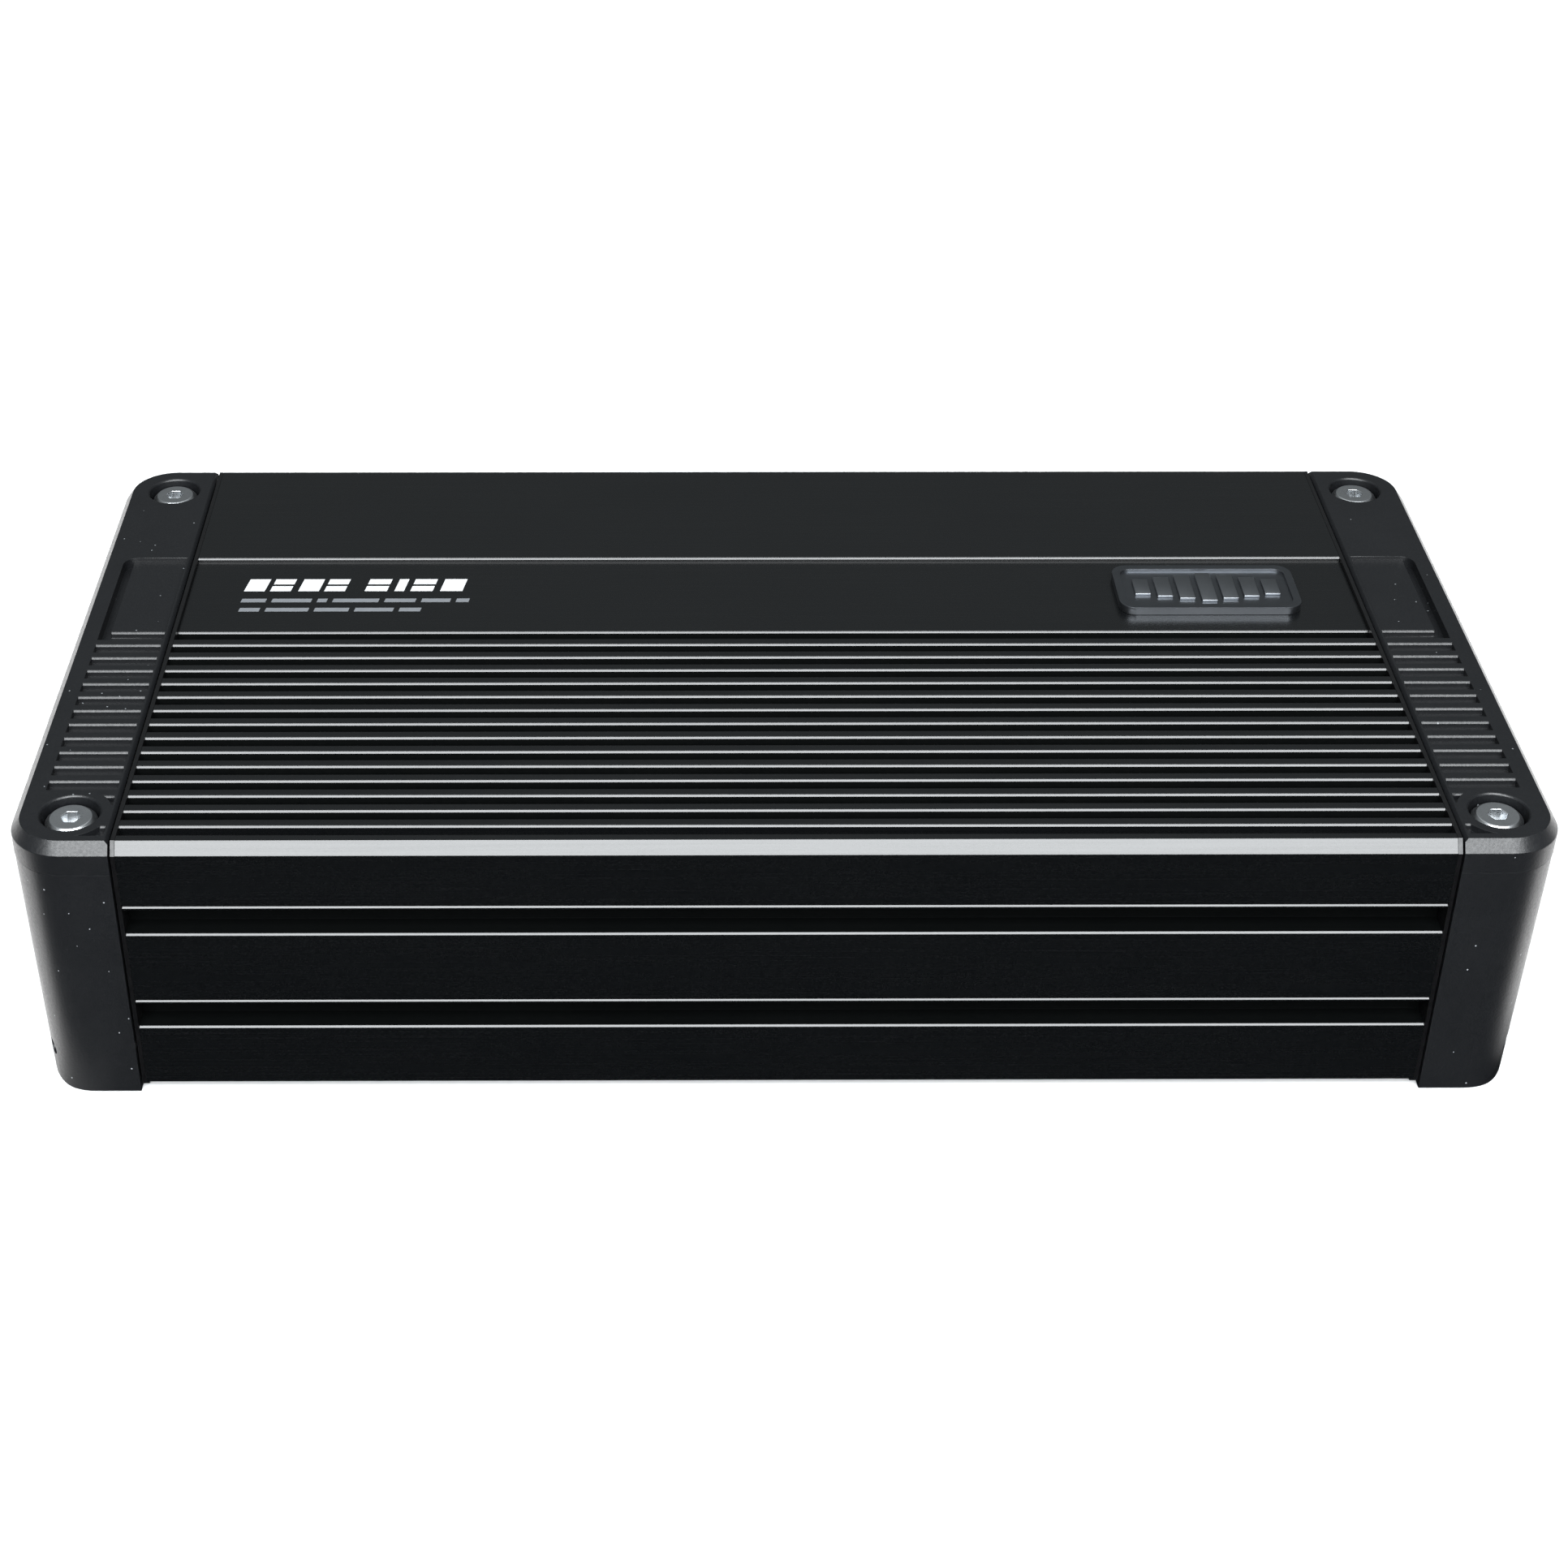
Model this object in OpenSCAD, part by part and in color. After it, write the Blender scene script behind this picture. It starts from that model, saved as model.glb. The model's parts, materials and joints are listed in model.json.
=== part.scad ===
// Compact car audio amplifier: a finned heat-sink extrusion between two end caps
// whose lids cover the wiring bays. Millimetres, +Z up, +X along the length,
// -Y towards the front. The origin is at the middle of the footprint, on the
// plane that the feet stand on.

/* [Overall] */
// Length over both end caps
amp_w = 256; // [248:1:270]
// Depth from front face to rear face
amp_d = 132; // [130:1:140]
// Height from the feet to the tops of the ribs
amp_h = 52; // [51:0.5:54]
// Length of each end cap along X
cap_w = 17.4; // [16.8:0.1:18.5]
// Radius of the caps' vertical outer corners
corner_r = 9.5; // [8:0.5:10]
// Gap under the extrusion, between the feet
foot_h = 2.1; // [1.5:0.1:3]

/* [Heat sink] */
// Distance from one rib to the next
rib_pitch = 4.415; // [4.3:0.005:4.5]
// Number of grooves between the name band and the front land
groove_count = 14; // [10:1:14]
// Width of one groove at the top
groove_w = 2.8; // [2:0.1:3]
// Depth of one groove
groove_depth = 2.2; // [1.2:0.1:3]
// Depth of the flat band that carries the badge
band_drop = 0.8; // [0.4:0.1:1.2]
// Height of the sloped edge along the top
edge_drop = 2.1; // [1.5:0.1:2.5]
// Run of the sloped edge along the top
edge_run = 1.6; // [1:0.1:2]
// Height of each groove along the front and rear faces
side_slot_h = 5; // [4:0.5:6]
// Depth of each groove along the front and rear faces
side_slot_depth = 4.3; // [3:0.1:4.5]

/* [Caps] */
// Thickness of the caps' walls
cap_wall = 2.5; // [2:0.1:3]
// Height of the parting line between lid and base
cap_split = 46.1; // [45.5:0.1:46.6]
// Length of the cable window in each cap's end wall
window_w = 76; // [70:1:76]
// Diameter of the mounting holes in the floors of the caps
mount_hole_d = 4.8; // [4.2:0.1:5.5]
// Distance between mounting holes, front to back
mount_pitch_y = 80; // [78:1:82]

/* [Controls] */
// Diameter of the control knobs
knob_d = 8.6; // [7:0.1:9]
// Distance between neighbouring controls
control_pitch = 12.5; // [12:0.5:13]

/* [Hidden] */
$fn = 64;
eps = 0.01;

// Places along X, on the right-hand side
cap_in = amp_w / 2 - cap_w;
seam = 0.4;
plate_t = 0.7;
plate_out = cap_in - seam;
body_end = plate_out - plate_t;
front = -amp_d / 2;
back = amp_d / 2;

// Rib rows: the rear edge of groove k, counted from the name band forwards
rib_0 = front + 67.64;
function groove_rear(k) = rib_0 - k * rib_pitch;
band_front = front + 69;
band_back = front + 95.2;
rib_bevel = 0.35;

// Inside of the extrusion
ceiling = 44.5;
inner_y = 59.2;
plate_bottom_t = 2;
rebate_y = 64.6;
floor_z = foot_h + plate_bottom_t;
slot_low = 14.3;
slot_high = 34;
slot_bevel = 0.35;
slot_lip = 0.3;
hairline = 0.3;

// Screw channels that run along the extrusion
low_channel = [61, 6.2];
high_channel = [48, 41];
m3_core = 1.25;
m3_r = 1.22;
m3_clear = 1.7;
end_screw_len = 16;

// Lids, their bolts and the slots on them
lid_top = 3;
bolt_x = amp_w / 2 - 9.85;
bolt_y = amp_d / 2 - 9.55;
bolt_r = 2.42;
bolt_head_r = 4.36;
bolt_head_h = 3.5;
bolt_sink = 0.8;
bolt_len = 16;
hex_af = 3;
counterbore_r = 4.95;
counterbore_bevel = 0.3;
boss_r = 6.85;
lid_slot_x0 = cap_in + 0.95;
lid_slot_x1 = amp_w / 2 - 4.6;
lid_slot_depth = 1.2;
lid_slot_rows = 11;
moat_w = 1.7;
moat_depth = 2;
pocket_r = 2.5;
pocket_front = groove_rear(0) - 2;

// Bay, floor, posts and the window in each cap base
cap_floor = 3;
tongue_x = body_end;
flange_t = 2.4;
post_r = 5.5;
post_hole_r = 2.5;
post_hole_z = 28;
window_low = 8;
window_high = 41;
window_r = 3;
mount_x = 119;
key_hole_r = 1.5;
head_room_end = 120;

// Boards
board_z = 11.5;
board_t = 1.6;
board_top = board_z + board_t;
board_half_y = 58.4;
board_x0 = -106;
board_x1 = 107;
standoff_r = 3;
board_screw_x = [-96, -34, 34, 96];
board_screw_y = 45;
control_board_x = -99;
control_low = board_top + 7;
control_high = board_top + 20.5;

// Controls: Y of the three knobs and of what sits under them
knob_y = [for (i = [0:2]) 1 + i * control_pitch];
knob_tip = -121;
knob_base = -112.6;
shaft_r = 2;
pot_bush_r = 3.4;
jack_y = [-27, -13];
jack_collar = plate_out + 1.6;
jack_end = 119.6;
jack_inner_r = 3.5;
slider_travel = 2.4;

// Terminals on the right-hand end. Each power terminal is [centre in Y, width, cable hole radius]
block_x0 = 98;
block_x1 = 123;
power_terminals = [[-30.75, 10.5, 3.6], [-20.25, 10.5, 3.6], [-12.75, 4.5, 1.5]];
power_h = 14;
power_axis_z = board_top + 6;
screw_x = block_x1 - 6;
speaker_y = [14, 20, 26, 32];
speaker_pitch = 6;
speaker_row_h = 12;
speaker_rows = [board_top + 0.5, board_top + 0.5 + speaker_row_h];
speaker_hole_r = 1.9;
fuse_y = 0.2;
fuse_x = [114.6, 120.6];

module along_x(x0, x1)
    translate([x0, 0, 0]) rotate([90, 0, 90]) linear_extrude(x1 - x0) children();

module pin_x(x0, x1, r)
    translate([x0, 0, 0]) rotate([0, 90, 0]) cylinder(r = r, h = x1 - x0);

module hex_prism(af, h) cylinder(r = af / sqrt(3), h = h, $fn = 6);

module round_rect(w, h, r)
    union() {
        square([w - 2 * r, h], center = true);
        square([w, h - 2 * r], center = true);
        for (sx = [-1, 1], sy = [-1, 1])
            translate([sx * (w / 2 - r), sy * (h / 2 - r)]) circle(r);
    }

module block(x0, x1, y0, y1, z0, z1)
    translate([x0, y0, z0]) cube([x1 - x0, y1 - y0, z1 - z0]);

// Socket head screw: shank down, underside of the head at z = 0, a fifth of the
// head's radius taken off its top edge at 45 degrees
module socket_screw(r, len, head_r, head_h, af)
    union() {
        translate([0, 0, -len]) cylinder(r = r, h = len + eps);
        difference() {
            intersection() {
                cylinder(r = head_r, h = head_h);
                cylinder(r1 = head_r * 0.8 + head_h, r2 = head_r * 0.8, h = head_h);
            }
            translate([0, 0, head_h * 0.4]) hex_prism(af, head_h);
        }
    }

// Pan head screw with a cross slot
module pan_screw(r, len, head_r, head_h)
    union() {
        translate([0, 0, -len]) cylinder(r = r, h = len + eps);
        difference() {
            cylinder(r1 = head_r, r2 = head_r * 0.75, h = head_h);
            translate([0, 0, head_h]) {
                cube([head_r * 1.1, 0.7, head_h], center = true);
                cube([0.7, head_r * 1.1, head_h], center = true);
            }
        }
    }

// ---- Heat sink -------------------------------------------------------------

module body_outline()
    polygon([
        [front, foot_h], [back, foot_h], [back, amp_h - edge_drop],
        [back - edge_run, amp_h], [front + edge_run, amp_h], [front, amp_h - edge_drop]
    ]);

// One groove: its rear wall ends in a small bevel that catches the light
module groove(rear, w, depth, top)
    polygon([
        [rear - w, top + 1], [rear - w, top - depth], [rear - rib_bevel, top - depth],
        [rear - rib_bevel, top - rib_bevel], [rear, top], [rear, top + 1]
    ]);

// One groove of the front face, with a hairline above it that leaves a narrow lip
module side_slot(z0) {
    polygon([
        [front - 1, z0 - slot_bevel], [front, z0 - slot_bevel],
        [front + slot_bevel, z0], [front + side_slot_depth, z0],
        [front + side_slot_depth, z0 + side_slot_h], [front - 1, z0 + side_slot_h]
    ]);
    translate([front, z0 + side_slot_h + slot_lip])
        polygon([[-1, 0], [0, 0], [hairline, hairline], [0, 2 * hairline], [-1, 2 * hairline]]);
}

module channels()
    for (s = [-1, 1], c = [low_channel, high_channel])
        translate([s * c[0], c[1]]) circle(m3_core);

module body_hollow()
    difference() {
        union() {
            translate([-inner_y, foot_h - 1]) square([2 * inner_y, ceiling - foot_h + 1]);
            translate([-rebate_y, foot_h - 1]) square([2 * rebate_y, floor_z - foot_h + 1]);
        }
        for (s = [-1, 1]) {
            translate([s * (low_channel[0] - 0.2), floor_z + 2.5]) square([4.8, 5], center = true);
            translate([s * high_channel[0], ceiling - 3]) square([8, 7], center = true);
        }
    }

module heatsink_body()
    color([0.10, 0.105, 0.11]) difference() {
        along_x(-body_end, body_end) difference() {
            body_outline();
            for (k = [1:groove_count]) groove(groove_rear(k), groove_w, groove_depth, amp_h);
            translate([groove_rear(1) + rib_pitch - groove_w, amp_h - band_drop])
                square([band_back - rib_bevel - (groove_rear(1) + rib_pitch - groove_w), 2]);
            groove(band_back, 2, band_drop, amp_h);
            groove(band_front, band_front - (groove_rear(0) - groove_w), groove_depth - band_drop,
                   amp_h - band_drop);
            for (s = [0, 1], z = [slot_low, slot_high]) mirror([s, 0]) side_slot(z);
            body_hollow();
            channels();
        }
        for (s = [-1, 1], x = bottom_screw_x)
            translate([x, s * bottom_screw_y, floor_z - 1]) cylinder(r = m3_core, h = 9);
        for (s = [-1, 1], x = clamp_screw_x)
            translate([x, s * (inner_y - 1), clamp_z])
                rotate([-s * 90, 0, 0]) cylinder(r = m3_core, h = 5.5);
    }

// ---- Bottom plate ----------------------------------------------------------

bottom_screw_x = [-92, -32, 32, 92];
bottom_screw_y = 61.8;

module bottom_plate()
    color([0.16, 0.16, 0.17]) difference() {
        block(-body_end, body_end, -rebate_y + 0.1, rebate_y - 0.1, foot_h, floor_z);
        for (s = [-1, 1], x = bottom_screw_x)
            translate([x, s * bottom_screw_y, foot_h - eps])
                cylinder(r1 = 2.8, r2 = m3_clear, h = plate_bottom_t + 2 * eps);
        for (x = board_screw_x, s = [-1, 1])
            translate([x, s * board_screw_y, foot_h - 1]) cylinder(r = m3_core + 0.1, h = 4);
    }

module bottom_plate_screws()
    color([0.2, 0.2, 0.21])
    for (s = [-1, 1], x = bottom_screw_x)
        translate([x, s * bottom_screw_y, foot_h]) difference() {
            union() {
                cylinder(r1 = 2.7, r2 = m3_r, h = 1.6);
                cylinder(r = m3_r, h = 9.5);
            }
            translate([0, 0, -0.6]) hex_prism(2, 1.6);
        }

// ---- End plates and the screws that hold the caps --------------------------

module plate_blank()
    difference() {
        body_outline();
        for (s = [-1, 1], c = [low_channel, high_channel])
            translate([s * c[0], c[1]]) circle(m3_clear);
    }

module left_end_plate()
    color([0.13, 0.13, 0.14]) along_x(-plate_out, -body_end) difference() {
        plate_blank();
        for (y = jack_y, z = [control_low, control_high]) translate([y, z]) circle(5.2);
        for (y = knob_y) translate([y, control_high]) circle(pot_bush_r + 0.1);
        for (y = [knob_y[0], knob_y[1]]) translate([y, control_low]) square([6.4, 4.2], center = true);
        translate([knob_y[2], control_low]) square([11.4, 11.4], center = true);
        for (z = [light_low, light_high]) translate([light_col, z]) circle(1.6);
    }

module right_end_plate()
    color([0.13, 0.13, 0.14]) along_x(body_end, plate_out) difference() {
        plate_blank();
        translate([-36.2, board_top - 0.4]) square([25.9, power_h + 0.8]);
        translate([speaker_y[0] - speaker_pitch / 2 - 0.3, board_top - 0.4])
            square([4 * speaker_pitch + 0.6, 2 * speaker_row_h + 1.8]);
    }

module end_screws()
    color([0.55, 0.55, 0.57])
    for (m = [0, 1], s = [-1, 1], c = [low_channel, high_channel])
        mirror([m, 0, 0]) translate([cap_in + flange_t, s * c[0], c[1]])
            rotate([0, 90, 0]) socket_screw(m3_r, end_screw_len, 2.75, 3, 2.5);

// ---- End caps --------------------------------------------------------------

// Plan of the right-hand cap, square at the seam and rounded outside
module cap_plan(inset)
    intersection() {
        union() {
            translate([cap_in, front + inset])
                square([cap_w - corner_r, amp_d - 2 * inset]);
            translate([cap_in, front + corner_r])
                square([cap_w - inset, amp_d - 2 * corner_r]);
            for (s = [-1, 1])
                translate([amp_w / 2 - corner_r, s * (amp_d / 2 - corner_r)]) circle(corner_r - inset);
        }
        translate([cap_in, front]) square([cap_w, amp_d]);
    }

module cap_base()
    difference() {
        union() {
            linear_extrude(cap_split) difference() {
                cap_plan(0);
                cap_plan(cap_wall);
                translate([cap_in - 1, front + cap_wall]) square([3, amp_d - 2 * cap_wall]);
            }
            linear_extrude(cap_floor) cap_plan(cap_wall / 2);
            block(tongue_x, cap_in + 1, front + 2, back - 2, 0, foot_h - 0.05);
            for (s = [-1, 1]) {
                block(cap_in, cap_in + flange_t, s > 0 ? 43 : -back + cap_wall - 0.5,
                      s > 0 ? back - cap_wall + 0.5 : -43, cap_floor - 1, cap_split - 0.4);
                block(plate_out, cap_in + 0.5, s > 0 ? 44 : -62, s > 0 ? 62 : -44, 5, 44);
                translate([bolt_x, s * bolt_y, 1]) cylinder(r = post_r, h = cap_split - 1);
                translate([bolt_x, s * bolt_y + s * 4, cap_split / 2])
                    cube([3, 6, cap_split], center = true);
            }
        }
        translate([amp_w / 2 - cap_wall / 2, 0, (window_low + window_high) / 2])
            rotate([90, 0, 90]) linear_extrude(2 * cap_wall, center = true)
                round_rect(window_w, window_high - window_low, window_r);
        for (s = [-1, 1]) {
            translate([mount_x, s * mount_pitch_y / 2, -1]) cylinder(d = mount_hole_d, h = cap_floor + 2);
            translate([bolt_x, s * bolt_y, post_hole_z]) cylinder(r = post_hole_r, h = cap_split);
            for (c = [low_channel, high_channel]) translate([0, s * c[0], c[1]]) {
                pin_x(tongue_x - 1, cap_in + flange_t + 1, m3_clear);
                pin_x(cap_in + flange_t, head_room_end, 3.1);
                pin_x(head_room_end - 1, amp_w / 2 + 1, key_hole_r);
            }
        }
    }

// Solid lid with its sloped rim, before anything is cut from it
module lid_blank()
    union() {
        translate([0, 0, cap_split]) linear_extrude(amp_h - edge_drop - cap_split) cap_plan(0);
        along_x(cap_in, amp_w / 2 - corner_r) polygon([
            [front, amp_h - edge_drop], [front + edge_run, amp_h],
            [back - edge_run, amp_h], [back, amp_h - edge_drop]
        ]);
        translate([0, front + corner_r, 0]) rotate([90, 0, 0]) mirror([0, 0, 1])
            linear_extrude(amp_d - 2 * corner_r) polygon([
                [cap_in, amp_h - edge_drop], [cap_in, amp_h],
                [amp_w / 2 - edge_run, amp_h], [amp_w / 2, amp_h - edge_drop]
            ]);
        intersection() {
            for (s = [-1, 1])
                translate([amp_w / 2 - corner_r, s * (amp_d / 2 - corner_r), amp_h - edge_drop])
                    cylinder(r1 = corner_r, r2 = corner_r - edge_run, h = edge_drop);
            block(cap_in, amp_w / 2, front, back, cap_split, amp_h);
        }
    }

// One slot of the lid, in line with groove k of the heat sink
module lid_slot(k)
    along_x(lid_slot_x0, lid_slot_x1) groove(groove_rear(k), groove_w, lid_slot_depth, amp_h);

// Plan of the lid's sunk panel, which has one rounded corner
module pocket_plan()
    union() {
        translate([lid_slot_x0, pocket_front])
            square([lid_slot_x1 - lid_slot_x0, band_back - pocket_r - pocket_front]);
        translate([lid_slot_x0, pocket_front])
            square([lid_slot_x1 - pocket_r - lid_slot_x0, band_back - pocket_front]);
        translate([lid_slot_x1 - pocket_r, band_back - pocket_r]) circle(pocket_r);
    }

// Sunk panel of the lid, in line with the name band, with a moat on two sides
module lid_pocket()
    union() {
        translate([0, 0, amp_h - band_drop]) linear_extrude(2) pocket_plan();
        translate([0, 0, amp_h - moat_depth]) linear_extrude(moat_depth) intersection() {
            pocket_plan();
            translate([lid_slot_x1 - moat_w, pocket_front]) square([moat_w, band_back - pocket_front]);
        }
        along_x(lid_slot_x0, lid_slot_x1)
            groove(band_front, band_front - (groove_rear(0) - groove_w), moat_depth - band_drop,
                   amp_h - band_drop);
    }

module cap_cover()
    difference() {
        lid_blank();
        difference() {
            translate([0, 0, cap_split - 1]) linear_extrude(amp_h - lid_top - cap_split + 1) union() {
                cap_plan(cap_wall);
                translate([cap_in - 1, front + cap_wall]) square([3, amp_d - 2 * cap_wall]);
            }
            for (s = [-1, 1])
                translate([bolt_x, s * bolt_y, cap_split]) cylinder(r = boss_r, h = 10);
        }
        for (k = [1:lid_slot_rows]) lid_slot(k);
        difference() {
            for (k = [lid_slot_rows + 1, lid_slot_rows + 3])
                intersection() {
                    lid_slot(k);
                    block(lid_slot_x0, bolt_x, front, 0, amp_h - 5, amp_h + 1);
                }
            translate([bolt_x, -bolt_y, amp_h - 6]) cylinder(r = boss_r, h = 8);
        }
        lid_pocket();
        for (s = [-1, 1]) translate([bolt_x, s * bolt_y, 0]) {
            translate([0, 0, amp_h - bolt_sink - bolt_head_h]) cylinder(r = counterbore_r, h = 10);
            translate([0, 0, amp_h - counterbore_bevel])
                cylinder(r1 = counterbore_r, r2 = counterbore_r + counterbore_bevel + eps,
                         h = counterbore_bevel + eps);
            translate([0, 0, cap_split - 1]) cylinder(r = bolt_r + 0.3, h = 10);
        }
        translate([cap_in, 0, amp_h]) rotate([0, 45, 0]) cube([0.8, 2 * amp_d, 0.8], center = true);
    }

cap_colour = [0.17, 0.175, 0.18];
module left_cap_base() color(cap_colour) mirror([1, 0, 0]) cap_base();
module right_cap_base() color(cap_colour) cap_base();
module left_cap_cover() color(cap_colour) mirror([1, 0, 0]) cap_cover();
module right_cap_cover() color(cap_colour) cap_cover();

module cover_bolts()
    color([0.62, 0.62, 0.63])
    for (sx = [-1, 1], sy = [-1, 1])
        translate([sx * bolt_x, sy * bolt_y, amp_h - bolt_sink - bolt_head_h])
            socket_screw(bolt_r, bolt_len, bolt_head_r, bolt_head_h, hex_af);

// Plain badge with a raised rim, on the name band
module badge()
    color([0.22, 0.22, 0.24]) translate([81.6, front + 82.5, amp_h - band_drop]) difference() {
        linear_extrude(1.6) round_rect(34, 16, 3);
        translate([0, 0, 1.1]) linear_extrude(1) round_rect(31, 13, 2);
    }

// ---- Boards ----------------------------------------------------------------

module main_board()
    color([0.05, 0.22, 0.12]) difference() {
        block(board_x0, board_x1, -board_half_y, board_half_y, board_z, board_top);
        for (x = board_screw_x, s = [-1, 1])
            translate([x, s * board_screw_y, board_z - 1]) cylinder(r = m3_clear, h = 4);
    }

module board_standoffs()
    color([0.75, 0.68, 0.42])
    for (x = board_screw_x, s = [-1, 1])
        translate([x, s * board_screw_y, floor_z]) difference() {
            hex_prism(5.5, board_z - floor_z);
            translate([0, 0, 1.5]) cylinder(r = m3_core, h = 10);
        }

module board_screws()
    color([0.7, 0.7, 0.72])
    for (x = board_screw_x, s = [-1, 1])
        translate([x, s * board_screw_y, board_top]) pan_screw(m3_r, 6, 2.8, 1.8);

module control_board()
    color([0.05, 0.22, 0.12])
    block(control_board_x, control_board_x + board_t, -38, 38, board_top + 0.2, 41);

module board_header()
    color([0.08, 0.08, 0.08])
    block(control_board_x + board_t, control_board_x + board_t + 5, -20, 20, board_top, board_top + 6);

// ---- Power parts -----------------------------------------------------------

toroid_x = 42;
toroid_ro = 24;
toroid_ri = 8;
toroid_h = 24;
wire_t = 2.5;
inductor_x = [-18, -18];
inductor_y = [-20, 20];

module ring(ro, ri, z0, h)
    translate([0, 0, z0]) rotate_extrude() translate([ri, 0]) square([ro - ri, h]);

module wound_ring(ro, ri, h, t)
    difference() {
        ring(ro, ri, 0, h);
        ring(ro - t, ri + t, t, h - 2 * t);
    }

module transformer_core()
    color([0.25, 0.25, 0.26]) translate([toroid_x, 0, board_top])
        ring(toroid_ro - wire_t, toroid_ri + wire_t, wire_t, toroid_h - 2 * wire_t);

module transformer_winding()
    color([0.72, 0.38, 0.16]) translate([toroid_x, 0, board_top])
        wound_ring(toroid_ro, toroid_ri, toroid_h, wire_t);

module inductor_cores()
    color([0.55, 0.5, 0.2])
    for (y = inductor_y) translate([inductor_x[0], y, board_top])
        ring(12.5, 6.5, 1.5, 11);

module inductor_windings()
    color([0.72, 0.38, 0.16])
    for (y = inductor_y) translate([inductor_x[0], y, board_top])
        wound_ring(14, 5, 14, 1.5);

module can(r, h)
    union() {
        cylinder(r = r, h = h * 0.9);
        translate([0, 0, h * 0.9 - eps]) cylinder(r = r - 0.5, h = h * 0.1);
    }

module storage_capacitors()
    color([0.12, 0.14, 0.3])
    for (x = [78, 92], y = [-24, 0, 24])
        if (!(x == 92 && y == 0)) translate([x - 2, y, board_top]) can(6.3, 28);

module filter_capacitors()
    color([0.12, 0.14, 0.3])
    for (x = [-52, -68], y = [-30, -12, 12, 30]) translate([x, y, board_top]) can(6.3, 22);

transistor_x = [-84, -60, -36, -12, 12, 36, 60, 84];
transistor_z = 17.5;
pad_t = 0.3;
clamp_z = 30;
clamp_screw_x = [-72, -24, 24, 72];

// Flat three-leg transistor standing against the wall on the side s
module transistor(s)
    union() {
        translate([-8, s > 0 ? inner_y - pad_t - 5 : -inner_y + pad_t, 0]) cube([16, 5, 20.8]);
        for (i = [-1:1])
            translate([i * 5.45 - 0.6, s > 0 ? inner_y - 3.3 : -inner_y + 2.7, board_top - transistor_z])
                cube([1.2, 0.6, transistor_z - board_top + 0.5]);
    }

module power_transistors()
    color([0.07, 0.07, 0.07])
    for (x = transistor_x) translate([x, 0, transistor_z]) transistor(1);

module output_transistors()
    color([0.07, 0.07, 0.07])
    for (x = transistor_x) translate([x, 0, transistor_z]) transistor(-1);

module thermal_pads()
    color([0.75, 0.75, 0.78])
    for (x = transistor_x, s = [0, 1]) mirror([0, s, 0])
        block(x - 9, x + 9, inner_y - pad_t, inner_y, transistor_z - 1, 39.5);

module clamp_bar(s)
    mirror([0, s > 0 ? 0 : 1, 0]) difference() {
        block(-96, 96, inner_y - pad_t - 7, inner_y - pad_t - 5, clamp_z - 4, clamp_z + 4);
        for (x = clamp_screw_x)
            translate([x, inner_y, clamp_z]) rotate([90, 0, 0]) cylinder(r = m3_clear, h = 20);
    }

module front_clamp_bar() color([0.6, 0.61, 0.63]) clamp_bar(-1);
module rear_clamp_bar() color([0.6, 0.61, 0.63]) clamp_bar(1);

module clamp_screws()
    color([0.7, 0.7, 0.72])
    for (x = clamp_screw_x, s = [0, 1]) mirror([0, s, 0])
        translate([x, inner_y - pad_t - 7, clamp_z]) rotate([90, 0, 0])
            pan_screw(m3_r, 11, 2.8, 1.8);

// ---- Signal end (left) -----------------------------------------------------

light_col = 34.8;
light_low = control_low + 3;
light_high = light_low + 6;

// Two by two block of round jacks, two for each pair of channels
module jack_places() for (y = jack_y, z = [control_low, control_high]) translate([0, y, z]) children();

module input_jack_housing()
    color([0.1, 0.1, 0.1]) difference() {
        union() {
            block(-body_end, control_board_x, -35, -5, board_top + 0.2, control_high + 6.5);
            jack_places() pin_x(-jack_collar, -body_end + 1, 5.1);
        }
        jack_places() pin_x(-plate_out - 3, -body_end + 8, jack_inner_r + 0.05);
    }

module input_jack_contacts()
    color([0.85, 0.68, 0.3]) jack_places() difference() {
        union() {
            pin_x(-jack_end, -jack_collar, 4.15);
            pin_x(-jack_collar, -body_end + 8, jack_inner_r);
        }
        pin_x(-jack_end - 1, -body_end + 6.5, 1.7);
    }

module control_pots()
    color([0.35, 0.36, 0.37])
    for (y = knob_y) translate([0, y, control_high]) difference() {
        union() {
            block(-body_end + 1.2, control_board_x, -5, 5, -6, 6);
            pin_x(-113, -body_end + 1.3, pot_bush_r - 0.1);
        }
        pin_x(-130, control_board_x - 4, shaft_r + 0.05);
    }

module pot_nuts()
    color([0.7, 0.7, 0.72])
    for (y = knob_y) translate([-plate_out - 1.8, y, control_high]) rotate([0, 90, 0]) difference() {
        hex_prism(9, 1.8);
        translate([0, 0, -1]) cylinder(r = pot_bush_r - 0.1, h = 4);
    }

// Shaft with a flat for the knob, and a collar that turns inside the control
module pot_shaft(i)
    translate([0, knob_y[i], control_high]) difference() {
        pin_x(knob_tip + 2, control_board_x - 4.2, shaft_r);
        block(knob_tip, -114.2, 1.3, 3, -3, 3);
    }

// Knob with grip flutes, a pointer groove and a D-shaped bore for the shaft
module knob(i)
    translate([0, knob_y[i], control_high]) difference() {
        pin_x(knob_tip, -113.6, knob_d / 2);
        for (a = [0:30:330]) rotate([a, 0, 0]) translate([0, knob_d / 2 + 0.25, 0])
            pin_x(knob_tip - 1, -115, 0.6, $fn = 16);
        block(knob_tip - 1, knob_tip + 0.5, -0.35, 0.35, 0, knob_d / 2 + 1);
        difference() {
            pin_x(knob_tip + 1.9, -112, shaft_r);
            block(knob_tip, -114.2, 1.3, 3, -3, 3);
        }
    }

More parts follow.
